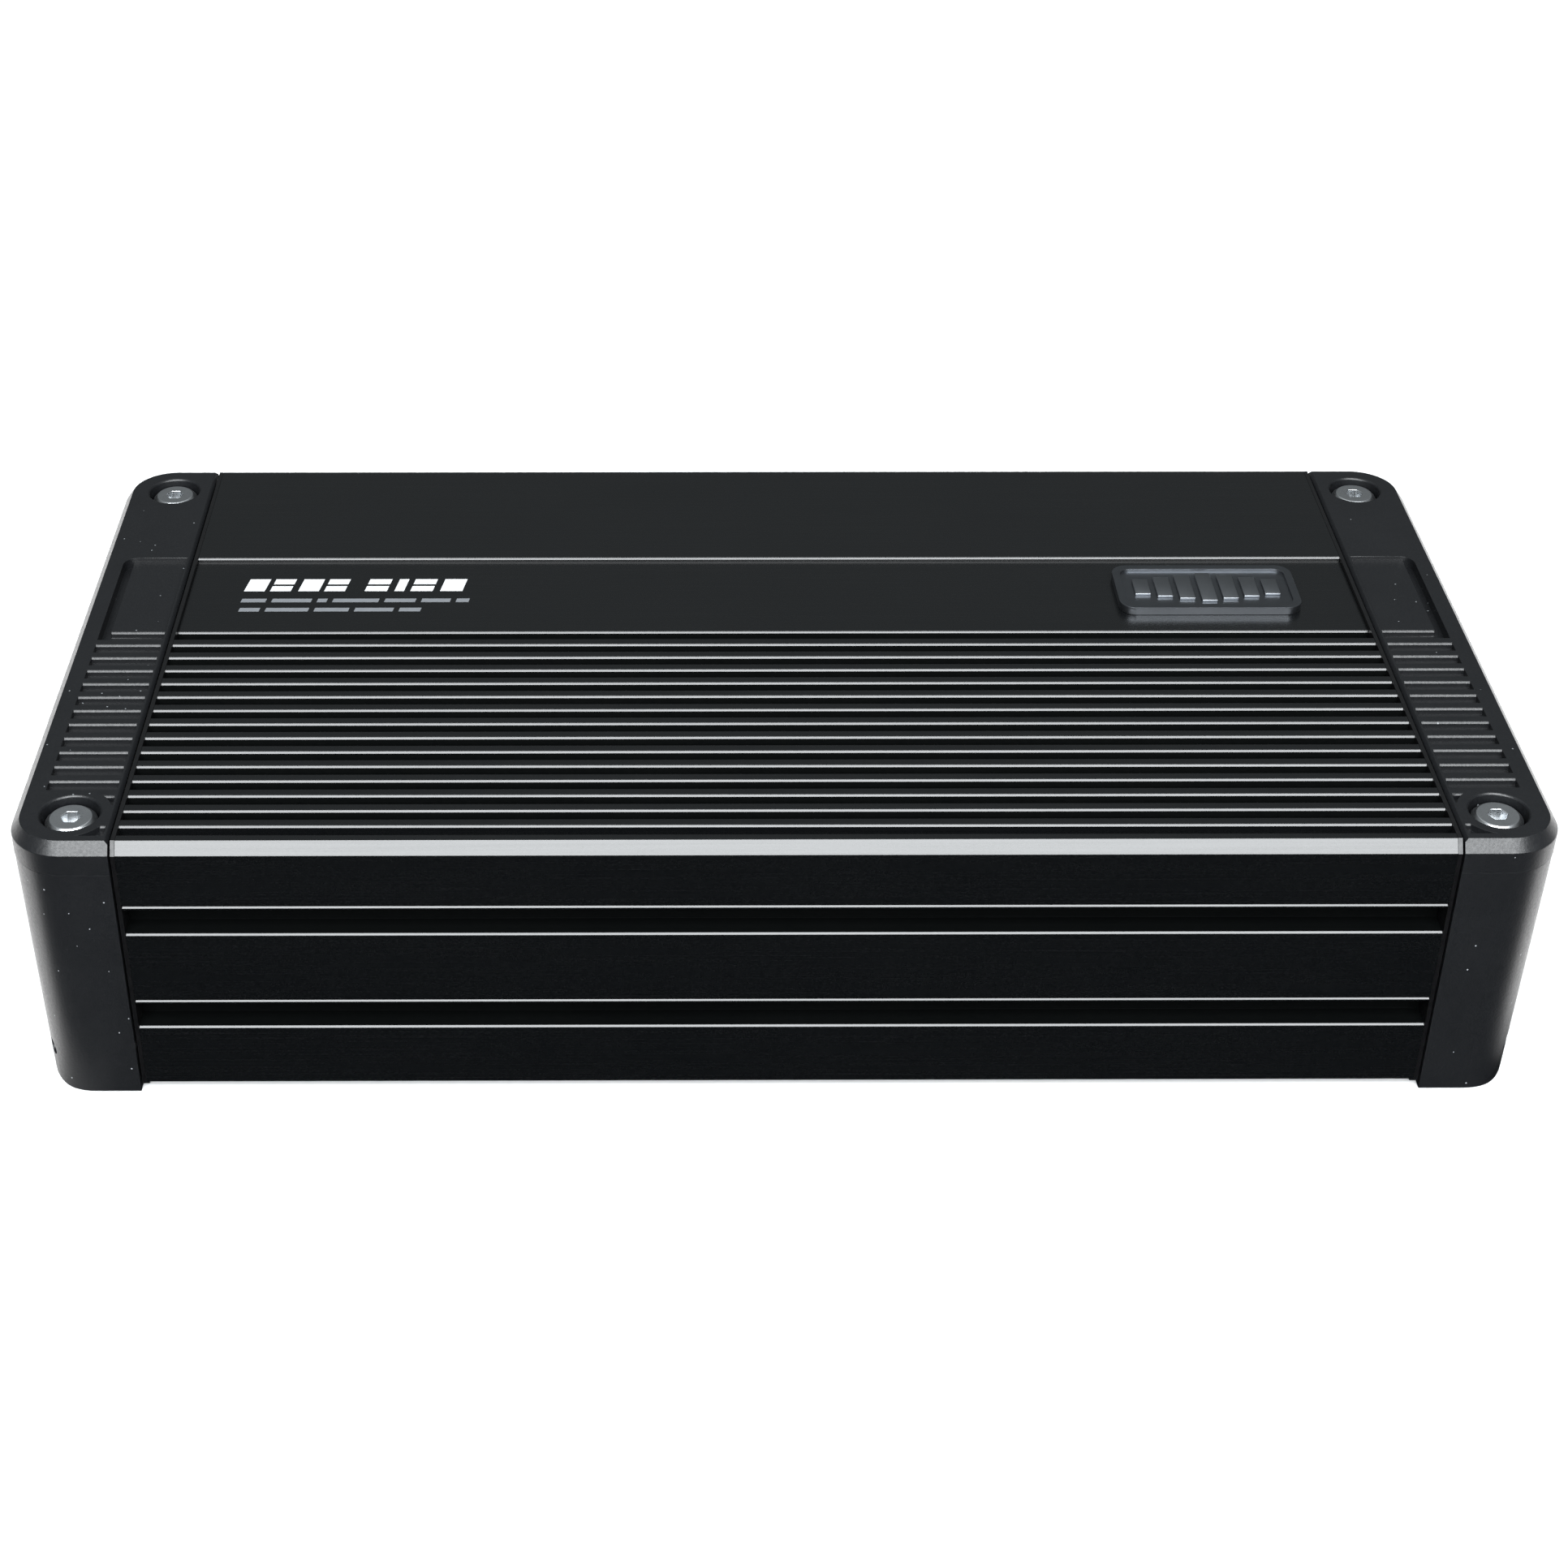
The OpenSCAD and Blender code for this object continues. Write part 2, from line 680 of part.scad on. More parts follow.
module front_gain_shaft() color([0.75, 0.75, 0.76]) pot_shaft(0);
module front_gain_knob() color([0.09, 0.09, 0.09]) knob(0);
module rear_gain_shaft() color([0.75, 0.75, 0.76]) pot_shaft(1);
module rear_gain_knob() color([0.09, 0.09, 0.09]) knob(1);
module crossover_shaft() color([0.75, 0.75, 0.76]) pot_shaft(2);
module crossover_knob() color([0.09, 0.09, 0.09]) knob(2);

module switch_housings()
    color([0.6, 0.61, 0.62])
    for (i = [0, 1]) translate([0, knob_y[i], control_low]) difference() {
        block(-body_end, control_board_x, -5.8, 5.8, -3.6, 3.6);
        block(-body_end - 1, -body_end + 5, -2.6, 2.6, -1.5, 1.5);
    }

// Sliding tab of a switch, at the -Y end of its travel
module slider(i)
    translate([0, knob_y[i] - slider_travel / 2, control_low]) union() {
        block(-body_end, -body_end + 4.6, -1.1, 1.1, -1.35, 1.35);
        block(-plate_out - 3.2, -body_end + 0.1, -1.1, 1.1, -1.2, 1.2);
    }

module filter_slider() color([0.09, 0.09, 0.09]) slider(0);
module input_mode_slider() color([0.09, 0.09, 0.09]) slider(1);

module remote_port()
    color([0.1, 0.1, 0.1]) translate([0, knob_y[2], control_low]) difference() {
        block(-plate_out - 0.6, control_board_x, -5.6, 5.6, -5.6, 5.6);
        block(-plate_out - 2, -102, -4.6, 4.6, -4.2, 3.4);
        block(-plate_out - 2, -104, -1.6, 1.6, 3, 4.9);
    }

module remote_port_contacts()
    color([0.85, 0.68, 0.3])
    for (i = [-1.5:1:1.5]) translate([0, knob_y[2] + i * 1.2, control_low])
        block(-109, -102, -0.25, 0.25, -4.2, -3.6);

module light(z, c)
    color(c) translate([0, light_col, z]) union() {
        pin_x(-111.2, -104, 1.5);
        translate([-111.2, 0, 0]) sphere(r = 1.5);
        pin_x(-105, -104, 1.9);
    }

module power_light() light(light_high, [0.2, 0.45, 0.9]);
module protect_light() light(light_low, [0.8, 0.12, 0.1]);

// ---- Power end (right) -----------------------------------------------------

// Cable enters along X; the set screw comes down from the top, under the lid
module power_terminal_block()
    color([0.08, 0.08, 0.08]) difference() {
        block(block_x0, block_x1, -36, -10.5, board_top, board_top + power_h);
        for (t = power_terminals) translate([0, t[0], power_axis_z]) {
            pin_x(101, block_x1 + 1, t[2]);
            translate([screw_x, 0, 0]) cylinder(r = t[2] * 0.75, h = power_h);
            block(104, 118.5, -t[2] - 0.6, t[2] + 0.6, -t[2] - 0.6, t[2] + 0.6);
        }
    }

module power_terminal_clamps()
    color([0.78, 0.77, 0.74])
    for (t = power_terminals) translate([0, t[0], power_axis_z]) difference() {
        block(104.2, 118.3, -t[2] - 0.5, t[2] + 0.5, -t[2] - 0.5, t[2] + 0.5);
        pin_x(106, 121, t[2] - 0.4);
        translate([screw_x, 0, 0]) cylinder(r = t[2] * 0.75 - 0.2, h = power_h);
    }

module power_terminal_screws()
    color([0.78, 0.77, 0.74])
    for (t = power_terminals) translate([screw_x, t[0], power_axis_z + t[2] + 0.1]) difference() {
        cylinder(r = t[2] * 0.75 - 0.3, h = power_h - 6.6 - t[2]);
        translate([0, 0, 0.8]) hex_prism(t[2] * 0.75, power_h);
    }

module speaker_places()
    for (y = speaker_y, z = speaker_rows) translate([0, y, z]) children();

// Two rows of four: cable hole below, clamping screw above it
module speaker_terminal_block()
    color([0.08, 0.08, 0.08]) difference() {
        block(block_x0, block_x1, speaker_y[0] - speaker_pitch / 2, speaker_y[3] + speaker_pitch / 2,
              board_top, board_top + 2 * speaker_row_h + 1);
        speaker_places() {
            translate([0, 0, 4]) pin_x(110, block_x1 + 1, speaker_hole_r);
            translate([0, 0, 9]) pin_x(110, block_x1 + 1, 1.7);
            block(106, 118, -2.5, 2.5, 1, 11);
        }
    }

module speaker_terminal_clamps()
    color([0.78, 0.77, 0.74]) speaker_places() difference() {
        block(106.2, 117.8, -2.4, 2.4, 1.2, 7);
        translate([0, 0, 4]) pin_x(108, 120, speaker_hole_r - 0.2);
    }

module speaker_terminal_screws()
    color([0.78, 0.77, 0.74]) speaker_places() translate([0, 0, 9]) difference() {
        pin_x(107, block_x1 - 0.8, 1.5);
        block(block_x1 - 1.6, block_x1, -0.3, 0.3, -2, 2);
    }

fuse_w = 19.1;
fuse_t = 5;
fuse_seat = 20;
fuse_top = 32;

module fuse_holder()
    color([0.08, 0.08, 0.08]) difference() {
        block(plate_out, block_x1 + 0.6, fuse_y - 10.2, fuse_y + 10.2, 5, fuse_seat);
        for (x = fuse_x, s = [-1, 1])
            block(x - 1, x + 1, fuse_y + s * 6.6 - 3, fuse_y + s * 6.6 + 3, 8, fuse_seat + 1);
    }

module fuse_clips()
    color([0.78, 0.77, 0.74])
    for (x = fuse_x, s = [-1, 1], d = [-0.98, 0.38])
        block(x + d, x + d + 0.6, fuse_y + s * 6.6 - 2.8, fuse_y + s * 6.6 + 2.8, 8, fuse_seat - 1);

module fuses()
    color([0.15, 0.55, 0.25])
    for (x = fuse_x) translate([x, fuse_y, fuse_seat + 0.2]) difference() {
        union() {
            block(-fuse_t / 2, fuse_t / 2, -fuse_w / 2, fuse_w / 2, fuse_top - fuse_seat - 4.2,
                  fuse_top - fuse_seat);
            block(-fuse_t / 2 + 0.6, fuse_t / 2 - 0.6, -fuse_w / 2 + 1, fuse_w / 2 - 1, 0,
                  fuse_top - fuse_seat - 4);
        }
        for (s = [-1, 1])
            block(-0.36, 0.36, s * 6.6 - 2.7, s * 6.6 + 2.7, -1, 6);
    }

module fuse_blades()
    color([0.8, 0.8, 0.8])
    for (x = fuse_x, s = [-1, 1])
        block(x - 0.34, x + 0.34, fuse_y + s * 6.6 - 2.6, fuse_y + s * 6.6 + 2.6, 10, fuse_seat + 6);

heatsink_body();
bottom_plate();
bottom_plate_screws();
left_end_plate();
right_end_plate();
end_screws();
left_cap_base();
right_cap_base();
left_cap_cover();
right_cap_cover();
cover_bolts();
badge();
main_board();
board_standoffs();
board_screws();
control_board();
board_header();
transformer_core();
transformer_winding();
inductor_cores();
inductor_windings();
storage_capacitors();
filter_capacitors();
power_transistors();
output_transistors();
thermal_pads();
front_clamp_bar();
rear_clamp_bar();
clamp_screws();
input_jack_housing();
input_jack_contacts();
control_pots();
pot_nuts();
front_gain_shaft();
front_gain_knob();
rear_gain_shaft();
rear_gain_knob();
crossover_shaft();
crossover_knob();
switch_housings();
filter_slider();
input_mode_slider();
remote_port();
remote_port_contacts();
power_light();
protect_light();
power_terminal_block();
power_terminal_clamps();
power_terminal_screws();
speaker_terminal_block();
speaker_terminal_clamps();
speaker_terminal_screws();
fuse_holder();
fuse_clips();
fuses();
fuse_blades();
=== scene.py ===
"""Looks for a compact car audio amplifier.

A finned black extrusion sits between two textured end caps. The lids of the caps
are held by four bright bolts and cover the wiring bays: signals on the left,
power and speakers on the right. Everything is in metres in the part's own frame:
+X along the length, -Y towards the front, Z up from the feet.
"""

import json
import math

import bpy
from mathutils import Matrix, Vector

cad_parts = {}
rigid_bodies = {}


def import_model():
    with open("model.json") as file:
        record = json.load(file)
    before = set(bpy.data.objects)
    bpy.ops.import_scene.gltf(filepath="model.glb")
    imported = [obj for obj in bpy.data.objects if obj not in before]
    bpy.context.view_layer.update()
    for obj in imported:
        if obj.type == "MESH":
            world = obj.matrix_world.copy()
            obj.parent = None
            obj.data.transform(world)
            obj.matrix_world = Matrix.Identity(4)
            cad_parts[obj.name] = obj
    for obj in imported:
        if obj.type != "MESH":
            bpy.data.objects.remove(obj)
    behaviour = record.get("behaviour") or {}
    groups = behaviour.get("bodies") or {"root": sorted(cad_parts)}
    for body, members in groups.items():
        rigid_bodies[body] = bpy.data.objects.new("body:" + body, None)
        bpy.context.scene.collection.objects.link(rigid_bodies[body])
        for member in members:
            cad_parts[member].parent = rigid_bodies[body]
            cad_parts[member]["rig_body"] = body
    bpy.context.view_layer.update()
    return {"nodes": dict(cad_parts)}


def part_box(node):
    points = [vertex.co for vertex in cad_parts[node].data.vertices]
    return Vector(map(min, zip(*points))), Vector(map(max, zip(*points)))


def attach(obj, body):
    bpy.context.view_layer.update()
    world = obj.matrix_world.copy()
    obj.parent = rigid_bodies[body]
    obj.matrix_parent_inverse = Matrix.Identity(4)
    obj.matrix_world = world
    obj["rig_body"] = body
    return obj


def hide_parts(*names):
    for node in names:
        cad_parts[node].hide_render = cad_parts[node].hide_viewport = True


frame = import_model()

MM = 0.001
SHARP = math.radians(30)        # edges turning more than this are rounded
SMOOTH = math.radians(38)       # faces turning less than this are shaded as one
ROUNDING_STEPS = 2
BAND_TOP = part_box("badge")[0].z / MM
BADGE_MIDDLE = sum(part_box("badge"), Vector()) / 2 / MM


# ---- Small helpers ---------------------------------------------------------

def linear(code):
    """An sRGB hex colour as the four linear numbers that a shader takes."""
    parts = [int(code[i:i + 2], 16) / 255 for i in (0, 2, 4)]
    curve = [p / 12.92 if p <= 0.04045 else ((p + 0.055) / 1.055) ** 2.4 for p in parts]
    return (*curve, 1.0)


def add(tree, kind, inputs=None, **settings):
    """One node, with its settings, and its inputs as numbers or links."""
    node = tree.nodes.new(kind)
    for name, value in settings.items():
        setattr(node, name, value)
    for socket, value in (inputs or {}).items():
        if isinstance(value, bpy.types.NodeSocket):
            tree.links.new(value, node.inputs[socket])
        else:
            node.inputs[socket].default_value = value
    return node


def start_finish(name, colour, metallic, roughness, ior=1.5):
    """An empty material: its tree, its shader, and the place on the piece in millimetres."""
    material = bpy.data.materials.new(name)
    material.use_nodes = True
    tree = material.node_tree
    tree.nodes.clear()
    shader = add(tree, "ShaderNodeBsdfPrincipled", {
        "Base Color": linear(colour), "Metallic": metallic, "Roughness": roughness, "IOR": ior})
    add(tree, "ShaderNodeOutputMaterial", {"Surface": shader.outputs["BSDF"]})
    place = add(tree, "ShaderNodeTexCoord").outputs["Object"]
    in_mm = add(tree, "ShaderNodeVectorMath", {0: place, "Scale": 1000.0}, operation="SCALE")
    return material, tree, shader, in_mm.outputs[0]


def weather(tree, shader, place, colours, roughness, patch, grain, depth, stretch=(1, 1, 1)):
    """Colour and gloss that drift over patches of a size, and a raised grain.

    patch and grain are sizes in millimetres, depth is the grain's height in
    millimetres, and stretch draws the grain out along an axis. It gives back the
    colour and the gloss, for a finish that adds something to them.
    """
    drift = add(tree, "ShaderNodeTexNoise", {
        "Vector": place, "Scale": 1 / patch, "Detail": 4.0, "Roughness": 0.6})
    tint = add(tree, "ShaderNodeMix", {
        0: drift.outputs[0], 6: linear(colours[0]), 7: linear(colours[1])}, data_type="RGBA")
    tree.links.new(tint.outputs[2], shader.inputs["Base Color"])
    drawn = add(tree, "ShaderNodeMapping", {"Vector": place, "Scale": stretch})
    fine = add(tree, "ShaderNodeTexNoise", {
        "Vector": drawn.outputs[0], "Scale": 1 / grain, "Detail": 3.0, "Roughness": 0.55})
    gloss = add(tree, "ShaderNodeMapRange", {
        "Value": fine.outputs[0], "From Min": 0.3, "From Max": 0.7,
        "To Min": roughness[0], "To Max": roughness[1]})
    tree.links.new(gloss.outputs[0], shader.inputs["Roughness"])
    raised = add(tree, "ShaderNodeBump", {
        "Height": fine.outputs[0], "Strength": 1.0, "Distance": depth * MM})
    tree.links.new(raised.outputs[0], shader.inputs["Normal"])
    return tint.outputs[2], gloss.outputs[0]


# ---- Finishes --------------------------------------------------------------

def black_anodised_extrusion():
    """6063 aluminium, extruded, matt etched and dyed black: nearly black with a clear satin gloss,
    an etched grain that breaks up bright edges, and faint lines that the die drew lengthways."""
    material, tree, shader, place = start_finish(
        "black_anodised_extrusion", "050607", 0.0, 0.26, 1.62)
    # Etched grain 0.3 mm across, real grain being ten times finer, on patches of dye 30 mm across
    _, gloss = weather(
        tree, shader, place, ("040506", "070809"), (0.245, 0.28), 30, 0.3, 0.0004, (0.5, 1, 1))
    # Die lines about 0.4 mm apart and over 40 mm long change the gloss a little
    drawn = add(tree, "ShaderNodeMapping", {"Vector": place, "Scale": (0.01, 1, 1)})
    lines = add(tree, "ShaderNodeTexNoise", {
        "Vector": drawn.outputs[0], "Scale": 2.5, "Detail": 2.0, "Roughness": 0.5})
    varied = add(tree, "ShaderNodeMapRange", {
        "Value": lines.outputs[0], "From Min": 0.3, "From Max": 0.7, "To Min": -0.025,
        "To Max": 0.025})
    both = add(tree, "ShaderNodeMath", {0: gloss, 1: varied.outputs[0]}, operation="ADD")
    tree.links.new(both.outputs[0], shader.inputs["Roughness"])
    return material


def groove_painted_shade():
    """Painted shade for the grooves: the same aluminium, dead black and dull, stands in for the
    shade inside them.
    """
    material, tree, shader, place = start_finish("groove_painted_shade", "030404", 0.0, 0.6)
    shader.inputs["Specular IOR Level"].default_value = 0.05
    weather(tree, shader, place, ("030404", "060707"), (0.5, 0.65), 20, 0.4, 0.004, (0.3, 1, 1))
    return material


def coated_die_cast_cap():
    """Die-cast zinc with a fine-textured black powder coat: charcoal, softly speckled, with a
    broad highlight and pale painted glints, small light dots spread over the whole cap."""
    material, tree, shader, place = start_finish("coated_die_cast_cap", "0f1012", 0.0, 0.36)
    tint, _ = weather(
        tree, shader, place, ("0c0d0f", "131416"), (0.31, 0.43), 14, 0.45, 0.028)
    # Painted glints: pale dots 0.3 mm across, about one in each 3 mm, stand in for the coat's
    # glints
    cells = add(tree, "ShaderNodeTexVoronoi", {"Vector": place, "Scale": 0.34, "Randomness": 1.0})
    painted_glint_dots = add(tree, "ShaderNodeMath", {0: cells.outputs["Distance"], 1: 0.05},
               operation="LESS_THAN")
    with_painted_glints = add(tree, "ShaderNodeMix", {
        0: painted_glint_dots.outputs[0], 6: tint, 7: linear("75787b")}, data_type="RGBA")
    tree.links.new(with_painted_glints.outputs[2], shader.inputs["Base Color"])
    return material


def black_painted_sheet():
    """Mild steel sheet, stoved black: satin black with a slight orange peel."""
    material, tree, shader, place = start_finish("black_painted_sheet", "060607", 0.0, 0.34)
    weather(tree, shader, place, ("050506", "09090a"), (0.28, 0.4), 18, 0.9, 0.004)
    return material


def bright_zinc_bolt():
    """Steel bolt, bright zinc plated: pale grey metal, slightly blue, with turning marks."""
    material, tree, shader, place = start_finish("bright_zinc_bolt", "c9ccce", 1.0, 0.3)
    weather(tree, shader, place, ("c0c3c6", "d6d8d9"), (0.27, 0.34), 2.5, 0.12, 0.001)
    return material


def black_oxide_screw():
    """Alloy steel, black oxide: dark, slightly brown metal with an oily gloss."""
    material, tree, shader, place = start_finish("black_oxide_screw", "2b2a29", 1.0, 0.36)
    weather(tree, shader, place, ("232221", "35332f"), (0.3, 0.46), 2, 0.15, 0.003)
    return material


def plated_steel_screw():
    """Steel screw, zinc plated and tumbled: grey metal with soft small scratches."""
    material, tree, shader, place = start_finish("plated_steel_screw", "a4a6a8", 1.0, 0.34)
    weather(tree, shader, place, ("94969a", "b8b9ba"), (0.26, 0.44), 2, 0.2, 0.004)
    return material


def gunmetal(name, colours, roughness):
    """Zinc casting in dark chrome: grey metal with a soft mirror and faint polish lines. The
    badge's plate is the darker one, and the bars that stand on it are paler."""
    material, tree, shader, place = start_finish(name, colours[0], 1.0, roughness[0])
    weather(tree, shader, place, colours, roughness, 6, 0.25, 0.0006, (0.1, 1, 1))
    return material


def printed_ink(name, colours):
    """Screen-printed epoxy ink, 20 micrometres thick: flat matt colour, a mesh's faint grain."""
    material, tree, shader, place = start_finish(name, colours[0], 0.0, 0.55)
    weather(tree, shader, place, colours, (0.5, 0.65), 1.2, 0.15, 0.004)
    return material


def green_solder_mask():
    """Glass-epoxy board under green solder mask: deep green gloss over pale copper runs."""
    material, tree, shader, place = start_finish("green_solder_mask", "0d3d22", 0.0, 0.28)
    tint, _ = weather(
        tree, shader, place, ("0b3a20", "11482a"), (0.22, 0.34), 9, 0.5, 0.004)
    # Copper runs on a 2.5 mm grid show through the mask
    runs = add(tree, "ShaderNodeTexBrick", {
        "Vector": place, "Scale": 1.0, "Mortar Size": 0.25, "Brick Width": 9.0, "Row Height": 2.5,
        "Color1": (0, 0, 0, 1), "Color2": (0, 0, 0, 1), "Mortar": (1, 1, 1, 1)})
    laid = add(tree, "ShaderNodeMix", {
        0: runs.outputs["Color"], 6: tint, 7: linear("1c6a3c")}, data_type="RGBA")
    tree.links.new(laid.outputs[2], shader.inputs["Base Color"])
    return material


def black_glass_nylon():
    """Glass-filled nylon 66, moulded black: dark grey, dull, with a fibrous fine grain."""
    material, tree, shader, place = start_finish("black_glass_nylon", "1b1b1c", 0.0, 0.5, 1.53)
    weather(tree, shader, place, ("161617", "232324"), (0.42, 0.6), 7, 0.3, 0.01, (0.5, 1, 1))
    return material


def knob_abs():
    """ABS, moulded in a fine spark-eroded tool: soft black with an even matt grain."""
    material, tree, shader, place = start_finish("knob_abs", "151516", 0.0, 0.5, 1.53)
    weather(tree, shader, place, ("111112", "1d1d1e"), (0.42, 0.58), 3, 0.2, 0.012)
    return material


def epoxy_package():
    """Moulded epoxy case of a transistor: dull black, dusty, slightly brown."""
    material, tree, shader, place = start_finish("epoxy_package", "191817", 0.0, 0.55)
    weather(tree, shader, place, ("141312", "22201e"), (0.5, 0.66), 5, 0.2, 0.008)
    return material


def gold_plated_brass():
    """Brass, turned and gold plated: warm yellow metal with fine lathe rings."""
    material, tree, shader, place = start_finish("gold_plated_brass", "d9b25e", 1.0, 0.22)
    weather(tree, shader, place, ("cda553", "e5c06e"), (0.16, 0.3), 3, 0.18, 0.003, (3, 0.4, 0.4))
    return material


def nickel_plated_brass():
    """Brass block, nickel plated: warm silver with a soft gloss."""
    material, tree, shader, place = start_finish("nickel_plated_brass", "b9b5ab", 1.0, 0.28)
    weather(tree, shader, place, ("aba79c", "c8c4ba"), (0.22, 0.38), 4, 0.25, 0.004)
    return material


def bare_brass():
    """Turned brass stand-off: yellow metal, a little tarnished."""
    material, tree, shader, place = start_finish("bare_brass", "b8964a", 1.0, 0.34)
    weather(tree, shader, place, ("9f8040", "c7a557"), (0.28, 0.45), 3, 0.2, 0.004)
    return material


def enamelled_copper_winding():
    """Copper wire under clear enamel, wound side by side: orange-brown gloss in 0.9 mm ridges."""
    material, tree, shader, place = start_finish("enamelled_copper_winding", "a8562a", 0.6, 0.3)
    weather(tree, shader, place, ("8f4520", "bf6a35"), (0.24, 0.36), 4, 0.9, 0.02)
    turns = add(tree, "ShaderNodeTexWave", {"Vector": place, "Scale": 0.35, "Distortion": 1.5},
                wave_type="BANDS", bands_direction="DIAGONAL")
    wound = add(tree, "ShaderNodeBump", {
        "Height": turns.outputs["Fac"], "Strength": 0.8, "Distance": 0.3 * MM})
    tree.links.new(wound.outputs[0], shader.inputs["Normal"])
    return material


def ferrite_core():
    """Sintered manganese-zinc ferrite: dark grey ceramic, faintly sparkling."""
    material, tree, shader, place = start_finish("ferrite_core", "2f3033", 0.0, 0.45)
    weather(tree, shader, place, ("292a2d", "3a3b3f"), (0.35, 0.55), 6, 0.2, 0.01)
    return material


def coated_iron_powder_core():
    """Pressed iron powder with a yellow paint: chalky yellow, slightly pitted."""
    material, tree, shader, place = start_finish("coated_iron_powder_core", "c2a52a", 0.0, 0.5)
    weather(tree, shader, place, ("b3972a", "d1b53c"), (0.42, 0.6), 5, 0.4, 0.03)
    return material


def capacitor_sleeve():
    """Aluminium can in a shrunk dark blue sleeve: smooth plastic film with slight waves."""
    material, tree, shader, place = start_finish("capacitor_sleeve", "1b2140", 0.0, 0.25)
    weather(tree, shader, place, ("171c37", "232a50"), (0.2, 0.32), 8, 1.6, 0.02)
    return material


def silicone_pad():
    """Silicone sheet on glass cloth: pale grey rubber with a visible 0.5 mm weave."""
    material, tree, shader, place = start_finish("silicone_pad", "a9abad", 0.0, 0.7, 1.41)
    weather(tree, shader, place, ("9c9ea0", "b7b9bb"), (0.62, 0.8), 8, 0.5, 0.02)
    return material


def indicator_lens(name, colours, glow):
    """Epoxy light-emitting diode: clear tinted dome, faintly lit from within."""
    material, tree, shader, place = start_finish(name, colours[0], 0.0, 0.12)
    weather(tree, shader, place, colours, (0.08, 0.16), 1.5, 0.6, 0.002)
    shader.inputs["Emission Color"].default_value = linear(colours[1])
    shader.inputs["Emission Strength"].default_value = glow
    return material


def fuse_plastic():
    """Tinted transparent nylon body of a blade fuse: clear green with a pale moulded skin."""
    material, tree, shader, place = start_finish("fuse_plastic", "2f9a55", 0.0, 0.2, 1.53)
    shader.inputs["Transmission Weight"].default_value = 0.45
    weather(tree, shader, place, ("2a8f4e", "3fae66"), (0.14, 0.28), 4, 0.5, 0.004)
    return material


def tinned_blade():
    """Tin-plated zinc strip: matt silver with soft smears."""
    material, tree, shader, place = start_finish("tinned_blade", "b4b6b7", 1.0, 0.38)
    weather(tree, shader, place, ("a6a8aa", "c3c5c6"), (0.3, 0.46), 3, 0.3, 0.003)
    return material


def insulator_ring(name, colours):
    """Polypropylene ring inside a jack: smooth coloured plastic with a soft shine."""
    material, tree, shader, place = start_finish(name, colours[0], 0.0, 0.35, 1.49)
    weather(tree, shader, place, colours, (0.3, 0.42), 2, 0.4, 0.004)
    return material


EXTRUSION = black_anodised_extrusion()
# Painted shade: a dead black, dull finish that stands in for the shade inside the grooves
GROOVE_PAINTED_SHADE = groove_painted_shade()
CAP = coated_die_cast_cap()
SHEET = black_painted_sheet()
BOLT = bright_zinc_bolt()
OXIDE = black_oxide_screw()
SCREW = plated_steel_screw()
BADGE = gunmetal("dark_chrome_badge", ("66696d", "75787c"), (0.3, 0.36))
RELIEF = gunmetal("gunmetal_relief", ("898c90", "9a9da1"), (0.3, 0.36))
WHITE_INK = printed_ink("white_screen_ink", ("c0c1c2", "cccdce"))
GREY_INK = printed_ink("grey_screen_ink", ("63666a", "73767a"))
BOARD = green_solder_mask()
NYLON = black_glass_nylon()
KNOB = knob_abs()
EPOXY = epoxy_package()
GOLD = gold_plated_brass()
NICKEL = nickel_plated_brass()
BRASS = bare_brass()
COPPER = enamelled_copper_winding()
FERRITE = ferrite_core()
IRON_POWDER = coated_iron_powder_core()
SLEEVE = capacitor_sleeve()
PAD = silicone_pad()
BLUE_LENS = indicator_lens("blue_indicator_lens", ("1d3f9a", "3a74ff"), 0.6)
RED_LENS = indicator_lens("red_indicator_lens", ("6e0d0d", "b01a14"), 0.05)
FUSE = fuse_plastic()
BLADE = tinned_blade()
WHITE_RING = insulator_ring("white_insulator_ring", ("d8d8d4", "e6e6e2"))
RED_RING = insulator_ring("red_insulator_ring", ("a8201c", "bd2c26"))


# ---- Making and shaping pieces ---------------------------------------------

def pick(piece):
    """Only this piece is selected and active."""
    bpy.ops.object.select_all(action="DESELECT")
    piece.hide_viewport = False
    piece.select_set(True)
    bpy.context.view_layer.objects.active = piece


def dress(piece, material):
    """The piece has this finish and no other."""
    piece.data.materials.clear()
    piece.data.materials.append(material)


def soften(piece, width):
    """Rounds a piece's sharp edges by a width in millimetres, shades it smooth between, and
    keeps its large faces flat."""
    pick(piece)
    rounding = piece.modifiers.new("rounded_edges", "BEVEL")
    rounding.width = width * MM
    rounding.segments = ROUNDING_STEPS
    rounding.limit_method = "ANGLE"
    rounding.angle_limit = SHARP
    rounding.use_clamp_overlap = False
    bpy.ops.object.modifier_apply(modifier=rounding.name)
    bpy.ops.object.shade_smooth_by_angle(angle=SMOOTH)
    flattening = piece.modifiers.new("large_faces_stay_flat", "WEIGHTED_NORMAL")
    flattening.keep_sharp = True
    bpy.ops.object.modifier_apply(modifier=flattening.name)


def settle(piece, body, material):
    """The piece's place goes into its mesh, and it gets its finish and the body it moves with."""
    pick(piece)
    bpy.ops.object.transform_apply(location=True, rotation=True, scale=True)
    dress(piece, material)
    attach(piece, body)


